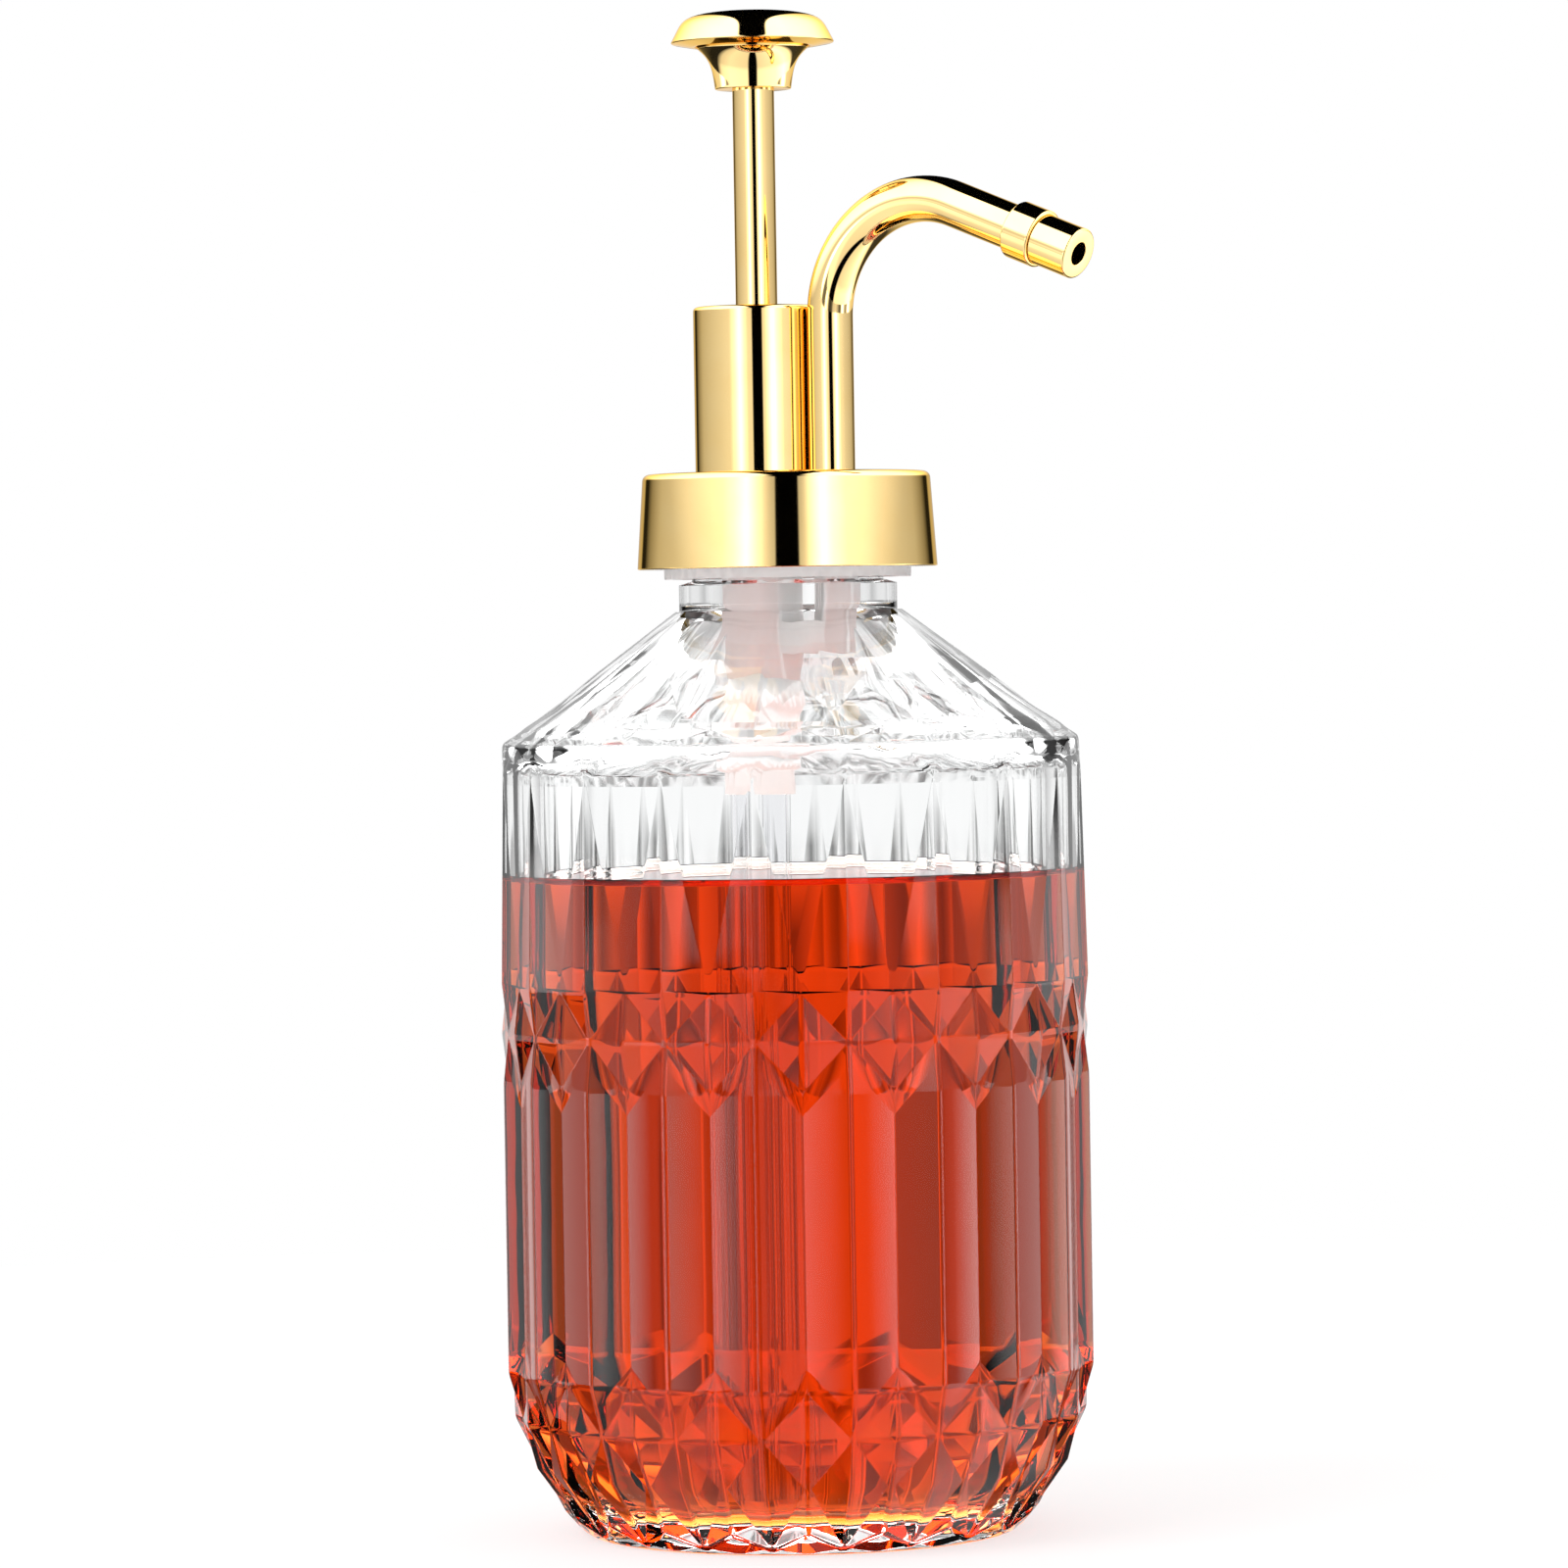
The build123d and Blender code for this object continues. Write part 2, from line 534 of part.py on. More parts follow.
def outlet_stop():
    outer_r = RISER_BORE_R - PRESS_GAP
    ring = tube(outer_r, OUT_STOP_BORE_R, OUT_STOP_Z + OUT_BAR / 2, OUT_STOP_Z + OUT_STOP_H, SPOUT_X)
    bar_reach = math.sqrt(outer_r**2 - OUT_BAR**2)
    bar = Pos(SPOUT_X, 0, OUT_STOP_Z + OUT_BAR / 2) * Box(2 * bar_reach, OUT_BAR, OUT_BAR)
    return ring + bar


def dip_tube():
    return tube(DIP_R, DIP_BORE_R, DIP_Z, SOCKET_TOP, PUMP_X)


# ---- spout ----

def spout_path():
    foot = Line((SPOUT_X, 0, SPOUT_FOOT), (SPOUT_X, 0, BEND_Z))
    turn = math.radians(SPOUT_TURN)
    centre_x = SPOUT_X + SPOUT_BEND_R
    half = (centre_x - SPOUT_BEND_R * math.cos(turn / 2), 0, BEND_Z + SPOUT_BEND_R * math.sin(turn / 2))
    end = (centre_x - SPOUT_BEND_R * math.cos(turn), 0, BEND_Z + SPOUT_BEND_R * math.sin(turn))
    bend = ThreePointArc((SPOUT_X, 0, BEND_Z), half, end)
    reach = SPOUT_REACH - NOZZLE_H
    tip = (end[0] + reach * math.sin(turn), 0, end[2] + reach * math.cos(turn))
    return foot + bend + Line(end, tip)


def nozzle_plane():
    """Plane on the nozzle's face, looking out along the spout's last run."""
    turn = math.radians(SPOUT_TURN)
    run = Vector(math.sin(turn), 0, math.cos(turn))
    bend_end = Vector(SPOUT_X + SPOUT_BEND_R * (1 - math.cos(turn)), 0,
                      BEND_Z + SPOUT_BEND_R * math.sin(turn))
    return Plane(bend_end + run * SPOUT_REACH, x_dir=(0, 1, 0), z_dir=run)


def spout_tube():
    section = Plane((SPOUT_X, 0, SPOUT_FOOT)) * (Circle(SPOUT_R) - Circle(SPOUT_BORE_R))
    return sweep(section, path=spout_path())


def spout_washer():
    return tube(SPOUT_R, RISER_BORE_R + PRESS_GAP, FLANGE_TOP, SPOUT_FOOT, SPOUT_X)


def spout_adapter():
    riser_r = RISER_BORE_R - PRESS_GAP
    tube_r = SPOUT_BORE_R - PRESS_GAP
    low, high = FLANGE_TOP - ADAPTER_DOWN, FLANGE_TOP + ADAPTER_UP
    return turned([(ADAPTER_BORE_R, low), (riser_r, low), (riser_r, SPOUT_FOOT), (tube_r, SPOUT_FOOT),
                   (tube_r, high), (ADAPTER_BORE_R, high)], SPOUT_X)


def nozzle_ring():
    ring = tube(RING_R, SPOUT_R + PRESS_GAP, -NOZZLE_H - RING_LENGTH, -NOZZLE_H)
    return nozzle_plane().location * ring


def nozzle_tip():
    spigot_r = SPOUT_BORE_R - PRESS_GAP
    end_r = NOZZLE_R - NOZZLE_CHAMFER
    back = -NOZZLE_H - RING_LENGTH
    tip = turned([(NOZZLE_BORE_R, back), (spigot_r, back), (spigot_r, -NOZZLE_H), (NOZZLE_R, -NOZZLE_H),
                  (NOZZLE_R, -NOZZLE_CHAMFER), (end_r, 0), (NOZZLE_BORE_R, 0)])
    return nozzle_plane().location * tip


# ---- plunger ----

def plunger_rod():
    return turned([(0, PISTON_Z + PISTON_FLOOR), (ROD_SPIGOT_R, PISTON_Z + PISTON_FLOOR),
                   (ROD_SPIGOT_R, PISTON_TOP), (ROD_R, PISTON_TOP), (ROD_R, ROD_TOP), (0, ROD_TOP)],
                  PUMP_X)


def piston():
    run_r = BARREL_BORE_R - RUN_GAP
    groove_r = run_r - RING_DEPTH
    bore_r = ROD_SPIGOT_R + PRESS_GAP
    ring_z = PISTON_Z + RING_FROM_FOOT
    return turned([(0, PISTON_Z), (run_r, PISTON_Z), (run_r, ring_z), (groove_r, ring_z),
                   (groove_r, ring_z + RING_H), (run_r, ring_z + RING_H), (run_r, PISTON_TOP),
                   (bore_r, PISTON_TOP), (bore_r, PISTON_Z + PISTON_FLOOR), (0, PISTON_Z + PISTON_FLOOR)],
                  PUMP_X)


def piston_ring():
    groove_r = BARREL_BORE_R - RUN_GAP - RING_DEPTH
    ring_z = PISTON_Z + RING_FROM_FOOT
    return tube(BARREL_BORE_R - WIPER_GAP, groove_r + PRESS_GAP, ring_z + PRESS_GAP,
                ring_z + RING_H - PRESS_GAP, PUMP_X)


def return_spring():
    low = SPRING_Z + SPRING_WIRE / 2 + SPRING_END_GAP
    high = PISTON_Z - SPRING_WIRE / 2 - SPRING_END_GAP
    path = Helix((high - low) / SPRING_COILS, high - low, SPRING_MEAN_R, center=(0, 0, low))
    section = Plane(path @ 0, z_dir=path % 0) * Circle(SPRING_WIRE / 2)
    return Pos(PUMP_X, 0, 0) * sweep(section, path=path, is_frenet=True)


def knob_hub():
    waist_z = HUB_Z + HUB_WAIST_H
    side = Line((HUB_FOOT_R, 0, HUB_Z), (HUB_WAIST_R, 0, waist_z))
    flare = Spline((HUB_WAIST_R, 0, waist_z), (HUB_FLARE_R, 0, KNOB_Z),
                   tangents=[(HUB_WAIST_LEAN, 0, 1), (1, 0, HUB_FLARE_RISE)])
    rest = Polyline((HUB_FLARE_R, 0, KNOB_Z), (STUD_R, 0, KNOB_Z), (STUD_R, 0, KNOB_Z + STUD_H),
                    (0, 0, KNOB_Z + STUD_H), (0, 0, ROD_TOP), (ROD_R + PRESS_GAP, 0, ROD_TOP),
                    (ROD_R + PRESS_GAP, 0, HUB_Z), (HUB_FOOT_R, 0, HUB_Z))
    return Pos(PUMP_X, 0, 0) * revolve(make_face(Curve() + side + flare + rest), Axis.Z)


def knob_cap():
    hole_r = STUD_R + PRESS_GAP
    hole_top = KNOB_Z + STUD_H + PRESS_GAP
    top_z = KNOB_Z + KNOB_H
    crown = KNOB_H - KNOB_BROW_RISE
    dome_r = (KNOB_BROW_R**2 + crown**2) / (2 * crown)
    half_turn = math.asin(KNOB_BROW_R / dome_r) / 2
    brow = (KNOB_BROW_R, 0, KNOB_Z + KNOB_BROW_RISE)
    on_dome = (dome_r * math.sin(half_turn), 0, top_z - dome_r * (1 - math.cos(half_turn)))
    under = Polyline((0, 0, hole_top), (hole_r, 0, hole_top), (hole_r, 0, KNOB_Z), (HUB_FLARE_R, 0, KNOB_Z),
                     (KNOB_R, 0, KNOB_Z + KNOB_EDGE_RISE), brow)
    dome = ThreePointArc(brow, on_dome, (0, 0, top_z))
    axis_line = Line((0, 0, top_z), (0, 0, hole_top))
    face = make_face(Curve() + under + dome + axis_line)
    brow_corner = face.vertices().sort_by_distance(Vector(*brow))[0]
    return Pos(PUMP_X, 0, 0) * revolve(fillet(brow_corner, KNOB_ROUND), Axis.Z)


# ---- write every piece ----

PIECES = [
    bottle, syrup, collar_shell, collar_liner, neck_gasket, pump_body, top_plate, tower_sleeve,
    stem_guide, stem_wiper, valve_housing, inlet_ball, outlet_seat, outlet_ball, outlet_stop, dip_tube,
    spout_tube, spout_washer, spout_adapter, nozzle_ring, nozzle_tip, plunger_rod, piston, piston_ring,
    return_spring, knob_hub, knob_cap,
]

os.makedirs("parts", exist_ok=True)
for piece in PIECES:
    export_step(piece(), f"parts/{piece.__name__}.step")
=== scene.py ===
import math

import bmesh
import bpy
from mathutils import Matrix, Vector


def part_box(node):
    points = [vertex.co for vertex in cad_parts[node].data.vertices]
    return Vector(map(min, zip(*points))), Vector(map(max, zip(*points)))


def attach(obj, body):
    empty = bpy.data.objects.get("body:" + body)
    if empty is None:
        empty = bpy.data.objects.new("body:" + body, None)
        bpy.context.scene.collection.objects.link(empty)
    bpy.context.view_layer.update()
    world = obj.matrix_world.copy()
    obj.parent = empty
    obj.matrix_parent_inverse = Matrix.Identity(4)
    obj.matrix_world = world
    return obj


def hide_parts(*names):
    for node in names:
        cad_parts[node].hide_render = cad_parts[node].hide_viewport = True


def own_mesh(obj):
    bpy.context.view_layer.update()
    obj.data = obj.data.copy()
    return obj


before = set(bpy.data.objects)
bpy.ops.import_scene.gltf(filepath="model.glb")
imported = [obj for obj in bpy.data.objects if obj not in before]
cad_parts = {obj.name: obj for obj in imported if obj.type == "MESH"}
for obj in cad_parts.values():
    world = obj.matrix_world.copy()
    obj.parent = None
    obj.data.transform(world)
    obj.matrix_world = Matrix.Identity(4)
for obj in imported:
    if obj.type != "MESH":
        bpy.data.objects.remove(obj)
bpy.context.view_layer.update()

# ---------------------------------------------------------------- studio
# A white sweep with soft light all round. The polished metal mirrors soft boxes beside the
# camera, and black flags behind it, at the far sides and overhead, in crisp dark and cream
# bands. The glass takes its grey edges from the dimmer strips that show through it.

mm = 0.001
camera_azimuth = math.radians(34.8)
camera_distance = 967.5 * mm
camera_height = 119.0 * mm
camera_lens = 168.75          # on a sensor 36 wide
camera_near = 50 * mm
camera_roll = math.radians(-0.925)
camera_pitch = math.radians(-1.222)
camera_shift = -0.0029
floor_radius = 0.45
floor_sides = 64
floor_glow = 1.06
floor_matt = 0.35             # the share of the floor that takes shadows
lamp_size = 0.7
lamp_power = 5.0
lamp_place = Vector((-0.25, -0.9, 0.95))
lamp_aim = Vector((0, 0, 0.1))
plain_light = 0.92            # what lights everything matt, from all round
fill_light = 1.0              # added to it for what stands inside the glass
floor_starts = 0.135          # how steeply a mirrored ray falls before it meets the floor
floor_gleam = 0.4             # the floor's extra brightness near the horizon
flag_spread = 0.29            # the overhead flag is a wedge, this wide for its height
skylight_power = 5


class Signal:
    """One socket of a node tree. Sums written on it add Math nodes."""

    def __init__(self, tree, socket):
        self.tree = tree
        self.socket = socket

    def other(self, output):
        return Signal(self.tree, self.socket.node.outputs[output])

    def work(self, operation, *values):
        return self.tree.node("ShaderNodeMath", {"operation": operation}, dict(enumerate(values)))

    def __add__(self, value):
        return self.work("ADD", self, value)

    def __sub__(self, value):
        return self.work("SUBTRACT", self, value)

    def __rsub__(self, value):
        return self.work("SUBTRACT", value, self)

    def __mul__(self, value):
        return self.work("MULTIPLY", self, value)

    def __truediv__(self, value):
        return self.work("DIVIDE", self, value)

    def __gt__(self, value):
        return self.work("GREATER_THAN", self, value)

    def __abs__(self):
        return self.work("ABSOLUTE", self)

    __radd__ = __add__
    __rmul__ = __mul__


class Tree:
    """The nodes of one material or of the world."""

    def __init__(self, owner):
        owner.use_nodes = True
        self.nodes = owner.node_tree.nodes
        self.links = owner.node_tree.links
        self.nodes.clear()

    def node(self, kind, settings=None, inputs=None, output=0):
        made = self.nodes.new(kind)
        for name, value in (settings or {}).items():
            if name == "stops":
                self.set_stops(made.color_ramp, value)
            else:
                setattr(made, name, value)
        for name, value in (inputs or {}).items():
            if isinstance(value, Signal):
                self.links.new(value.socket, made.inputs[name])
            else:
                made.inputs[name].default_value = value
        return Signal(self, made.outputs[output]) if made.outputs else None

    def set_stops(self, ramp, stops):
        while len(ramp.elements) < len(stops):
            ramp.elements.new(0.5)
        for element, (place, value) in zip(ramp.elements, stops):
            element.position = place
        for element, (place, value) in zip(ramp.elements, stops):
            element.color = (value, value, value, 1)

    def blend(self, share, first, second):
        return self.node("ShaderNodeMix", {"data_type": "RGBA"}, {0: share, 6: first, 7: second}, 2)


def fade(value, stops):
    """Ramp over a value from 0 to 1: stops are (value, brightness)."""
    return value.tree.node("ShaderNodeValToRGB", {"stops": stops}, {0: value})


def ring_of_light(angle, stops):
    """Brightness around the studio: stops are (degrees to the right of the camera, brightness)."""
    peak = max(value for _, value in stops)
    places = [(0.5 + degrees / 360, value / peak) for degrees, value in stops]
    return fade(angle / (2 * math.pi) + 0.5, places) * peak


def mirrored_light(angle, rise, aside):
    """What shiny surfaces mirror: rings of soft boxes and flags, one above the other."""
    level = ring_of_light(angle, [
        (-180, 0.6), (-155, 0.6), (-151, 0.02), (-143, 0.02), (-134, 0.3), (-118, 0.6), (-75, 0.85),
        (-52, 1.0), (-42, 1.8), (-32, 3.6), (-23, 1.7), (-17, 1.1), (-9.5, 1.0), (-8.5, 0),
        (8.5, 0), (9.5, 1.0), (14, 1.2), (20, 2.2), (28, 4.0), (36, 2.4), (48, 1.2), (75, 0.85),
        (118, 0.6), (134, 0.3), (143, 0.02), (151, 0.02), (155, 0.6), (180, 0.6)])
    high = ring_of_light(angle, [
        (-180, 1.0), (-150, 1.6), (-120, 2.4), (-66, 3.0), (-30, 3.0), (-20, 1.6), (-14, 0.4), (-11, 0),
        (11, 0), (14, 0.4), (20, 1.6), (30, 3.0), (66, 3.0), (120, 2.4), (150, 1.6), (180, 1.0)])
    low = ring_of_light(angle, [
        (-180, 0.9), (-115, 1.0), (-100, 4.4), (-92, 2.4), (-86, 0.3), (-80, 0.3), (-66, 1.6), (-58, 4.8),
        (-50, 2.2), (-44, 0.2), (-30, 0.2), (-24, 3.4), (-17, 1.8), (-9, 0.1), (0, 0.05), (9, 0.2),
        (13, 0.8), (28, 1.0), (48, 0.1), (54, 0.3), (60, 2.6), (66, 4.8), (72, 1.0), (84, 0.3), (90, 0.7),
        (96, 3.0), (102, 4.8), (115, 1.0), (180, 0.9)])
    floor = ring_of_light(angle, [
        (-180, 0.8), (-160, 0.1), (-138, 0.02), (-115, 0.02), (-100, 0.9), (-70, 1.2), (-15, 1.0), (-11, 0),
        (11, 0), (15, 1.0), (70, 1.4), (100, 2.2), (122, 1.5), (132, 0.05), (160, 0.05), (180, 0.8)])
    fall = 0 - rise
    is_high = fade(rise, [(0.1, 0), (0.25, 1)])
    is_low = fade(fall, [(0.002, 0), (0.006, 1), (0.13, 1), (0.14, 0)])
    is_floor = fall > floor_starts
    gleam = fade(fall, [(0.3, 1), (0.42, 0)]) * floor_gleam + 1
    light = level * (1 - is_high) + high * is_high
    light = light * (1 - is_low) * (1 - is_floor) + low * is_low * (1 - is_floor)
    light = light + floor * gleam * is_floor
    overhead_flag = fade(rise * flag_spread - abs(aside) + 0.5, [(0.47, 1), (0.51, 0)])
    return light * overhead_flag


def light_through_glass(angle, rise):
    """What shows through the bottle: dark and bright strips where the syrup is, paler ones elsewhere."""
    syrup_strips = ring_of_light(angle, [
        (-180, 0.3), (-177, 1.05), (-174, 0.25), (-170, 1.2), (-165, 0.2), (-160, 0.6), (-155, 0.35),
        (-144, 0.35), (-120, 0.5), (-90, 0.5), (-50, 0.6), (0, 0.5), (50, 0.6), (90, 0.5), (120, 0.5),
        (144, 0.35), (155, 0.35), (160, 0.6), (165, 0.2), (169, 1.1), (173, 0.2), (177, 1.0), (180, 0.3)])
    glass_strips = ring_of_light(angle, [
        (-180, 1.0), (-168, 1.0), (-162, 0.8), (-155, 1.0), (-140, 0.95), (-126, 0.55), (-118, 0.95),
        (-90, 0.85), (-60, 0.95), (0, 0.9), (60, 0.95), (90, 0.85), (118, 0.95), (126, 0.55), (140, 0.95),
        (155, 1.0), (162, 0.8), (168, 1.0), (180, 1.0)])
    skylight = fade(rise, [(0.34, 0), (0.42, 1)]) * skylight_power
    syrup_rises = [(-0.28, 0), (-0.22, 1), (-0.038, 1), (-0.03, 0), (-0.016, 0), (-0.006, 0.25),
                   (0.07, 0.25), (0.1, 1), (0.28, 1), (0.34, 0)]
    at_syrup = fade(rise * 0.5 + 0.5, [(0.5 + place / 2, share) for place, share in syrup_rises])
    return syrup_strips * at_syrup + (glass_strips + skylight) * (1 - at_syrup)


def add_camera():
    camera = bpy.data.objects.new("camera", bpy.data.cameras.new("camera"))
    bpy.context.scene.collection.objects.link(camera)
    camera.data.lens = camera_lens
    camera.data.shift_x = camera_shift
    camera.data.clip_start = camera_near
    ahead = Vector((-math.sin(camera_azimuth), math.cos(camera_azimuth), 0))
    place = -ahead * camera_distance + Vector((0, 0, camera_height))
    turn = ahead.to_track_quat("-Z", "Y").to_matrix().to_4x4()
    tilt = Matrix.Rotation(camera_roll, 4, "Z") @ Matrix.Rotation(camera_pitch, 4, "X")
    camera.matrix_world = Matrix.Translation(place) @ turn @ tilt
    bpy.context.scene.camera = camera


def add_world():
    world = bpy.data.worlds.new("studio")
    bpy.context.scene.world = world
    sky = Tree(world)
    ray = sky.node("ShaderNodeLightPath")
    direction = sky.node("ShaderNodeTexCoord")
    facing = sky.node("ShaderNodeMapping", {"vector_type": "POINT"},
                      {"Vector": direction, "Rotation": (0, 0, math.pi / 2 - camera_azimuth)})
    ahead = sky.node("ShaderNodeSeparateXYZ", None, {0: facing})
    aside = ahead.other("Y")
    rise = ahead.other("Z")
    angle = ahead.work("ARCTAN2", aside, ahead)
    mirrored = mirrored_light(angle, rise, aside)
    through_glass = light_through_glass(angle, rise)
    glossy = ray.other("Is Glossy Ray")
    through = ray.other("Is Transmission Ray")
    seen = ray.other("Is Camera Ray")
    scattered = ray.other("Diffuse Depth") > 0.5
    light = plain_light * (1 - glossy) + mirrored * glossy
    light = light * (1 - through) + through_glass * through
    light = light * (1 - scattered) + plain_light * (1 + fill_light * through) * scattered
    light = light * (1 - seen) + seen
    background = sky.node("ShaderNodeBackground", None, {"Color": (1, 1, 1, 1), "Strength": light})
    sky.node("ShaderNodeOutputWorld", None, {"Surface": background})


def add_floor():
    bpy.ops.object.select_all(action="DESELECT")
    bpy.ops.mesh.primitive_circle_add(vertices=floor_sides, radius=floor_radius, fill_type="NGON")
    floor = bpy.context.object
    floor.name = "studio_floor"
    material = bpy.data.materials.new("studio_floor")
    paint = Tree(material)
    ray = paint.node("ShaderNodeLightPath")
    matt = paint.node("ShaderNodeBsdfDiffuse", None, {"Color": (1, 1, 1, 1)})
    glow = paint.node("ShaderNodeEmission", None, {"Color": (1, 1, 1, 1), "Strength": floor_glow})
    bright = paint.node("ShaderNodeMixShader", None, {0: floor_matt, 1: glow, 2: matt})
    surface = paint.node("ShaderNodeMixShader", None, {0: ray.other("Is Diffuse Ray"), 1: bright, 2: matt})
    clear = paint.node("ShaderNodeBsdfTransparent", None, {"Color": (1, 1, 1, 1)})
    turned_aside = paint.node("ShaderNodeMath", {"operation": "MAXIMUM"}, {
        0: ray.other("Is Transmission Ray"), 1: ray.other("Is Glossy Ray")})
    surface = paint.node("ShaderNodeMixShader", None, {0: turned_aside, 1: surface, 2: clear})
    paint.node("ShaderNodeOutputMaterial", None, {"Surface": surface})
    floor.data.materials.append(material)


def add_lamp():
    lamp = bpy.data.objects.new("soft_key", bpy.data.lights.new("soft_key", "AREA"))
    bpy.context.scene.collection.objects.link(lamp)
    lamp.data.size = lamp_size
    lamp.data.energy = lamp_power
    turn = (lamp_aim - lamp_place).to_track_quat("-Z", "Y").to_matrix().to_4x4()
    lamp.matrix_world = Matrix.Translation(lamp_place) @ turn
    lamp.visible_glossy = False
    lamp.visible_transmission = False


add_camera()
add_world()
add_floor()
add_lamp()
bpy.context.scene.view_settings.view_transform = "Standard"

# ---------------------------------------------------------------- bottle
# Clear glass, pressed in a mould and fire-polished: twenty long six-sided panels, rows of
# diamonds above and below them, kites under the shoulder and flutes up to the neck. It
# stands on a thick foot, and its neck carries the thread that the collar screws on.

ridge_round, ridge_steps = 0.5 * mm, 3
groove_round, groove_steps = 0.12 * mm, 2
facet_turn = math.radians(5)                     # a ridge or groove turns more than this
flat_turn = math.radians(0.4)                    # and faces within this are one facet
joined = 0.002 * mm
neck_foot, neck_r = 121.0 * mm, 14.5 * mm
neck_turn = math.radians(30)
wall_reach = 36.7 * mm                           # the inner wall stays inside this, and under a cone
shoulder_start, shoulder_slope = 104.2 * mm, 1.35
floor_top = 5.2 * mm
syrup_low, syrup_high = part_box("syrup")
syrup_level = syrup_high.z
glass_ior = 1.5
syrup_ior = 1.38
glass_tint = (0.985, 0.99, 0.99, 1)
glass_gleam = (0.5, 0.5, 0.5, 1)
ripple_scale, ripple_strength, ripple_depth = 90.0, 0.05, 0.5 * mm
panel_angle = math.radians(18)
panel_foot, panel_top = 15.6 * mm, 66.3 * mm     # the pointed ends, on the ridge
point_height = 6.3 * mm
panel_swell = 0.43 * mm
swell_fade = 3 * mm
melted_edge, melted_reach = 107 * mm, 8 * mm     # the shoulder's edge, softened in the fire
melted_scale, melted_depth = 85.0, 1.2 * mm


def start_edit(piece):
    if bpy.context.mode != "OBJECT":
        bpy.ops.object.mode_set(mode="OBJECT")
    bpy.ops.object.select_all(action="DESELECT")
    piece.select_set(True)
    bpy.context.view_layer.objects.active = piece
    bpy.ops.object.mode_set(mode="EDIT")


def copy_of(node, name):
    """New object with the CAD node's shape, its loose triangles joined into faces, in edit mode."""
    piece = bpy.data.objects.new(name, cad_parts[node].data.copy())
    piece.data.name = name
    piece.data.materials.clear()
    bpy.context.scene.collection.objects.link(piece)
    start_edit(piece)
    bpy.ops.mesh.select_all(action="SELECT")
    bpy.ops.mesh.remove_doubles(threshold=joined)
    return piece


def pick(piece, kind, test):
    """Selects the edges or faces that pass the test, with the piece in edit mode."""
    shape = bmesh.from_edit_mesh(piece.data)
    bpy.ops.mesh.select_mode(type={"edges": "EDGE", "faces": "FACE"}[kind])
    bpy.ops.mesh.select_all(action="DESELECT")
    for item in getattr(shape, kind):
        item.select = test(item)
    shape.select_flush_mode()
    bmesh.update_edit_mesh(piece.data)


def finish_shape(piece):
    """Leaves edit mode and gives soft, evenly weighted normals."""
    bpy.ops.object.mode_set(mode="OBJECT")
    bpy.ops.object.shade_smooth()
    even = piece.modifiers.new("even_normals", "WEIGHTED_NORMAL")
    even.keep_sharp = True
    bpy.ops.object.modifier_apply(modifier=even.name)


def in_cavity(points):
    return all(inside_wall(point) for point in points)


def inside_wall(point):
    """True for a point on the inner wall, which lies well within the outer cone and panels."""
    cone = wall_reach - max(0, point.z - shoulder_start) * shoulder_slope
    return math.hypot(point.x, point.y) < cone and point.z > floor_top


def on_outside(edge):
    points = [corner.co for corner in edge.verts]
    return not in_cavity(points) and all(
        math.hypot(point.x, point.y) > neck_r and point.z < neck_foot for point in points)


def at_neck(edge):
    return all(corner.co.z > neck_foot for corner in edge.verts)


def make_bottle():
    bottle = copy_of("bottle", "cut_glass_bottle")
    bpy.ops.mesh.dissolve_limited(angle_limit=flat_turn, delimit=set())
    pick(bottle, "edges", lambda edge: on_outside(edge) and edge.calc_face_angle_signed(0) > facet_turn)
    bpy.ops.mesh.bevel(offset=ridge_round, segments=ridge_steps, affect="EDGES", clamp_overlap=True)
    pick(bottle, "edges", lambda edge: on_outside(edge) and edge.calc_face_angle_signed(0) < -facet_turn)
    bpy.ops.mesh.bevel(offset=groove_round, segments=groove_steps, affect="EDGES", clamp_overlap=True)
    pick(bottle, "edges", lambda edge: at_neck(edge) and edge.calc_face_angle(0) > neck_turn)
    bpy.ops.mesh.mark_sharp()
    pick(bottle, "faces", lambda face: in_cavity([corner.co for corner in face.verts]))
    bpy.ops.mesh.bisect(plane_co=(0, 0, syrup_level), plane_no=(0, 0, 1))
    finish_shape(bottle)
    bottle.data.materials.append(glass_finish("cut_glass", glass_ior, panelled=True))
    bottle.data.materials.append(glass_finish("inner_glass", glass_ior))
    bottle.data.materials.append(glass_finish("wetted_glass", glass_ior / syrup_ior))
    for face in bottle.data.polygons:
        points = [bottle.data.vertices[i].co for i in face.vertices]
        face.material_index = in_cavity(points) * (2 if face.center.z < syrup_level else 1)
    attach(bottle, "bottle")
    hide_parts("bottle")


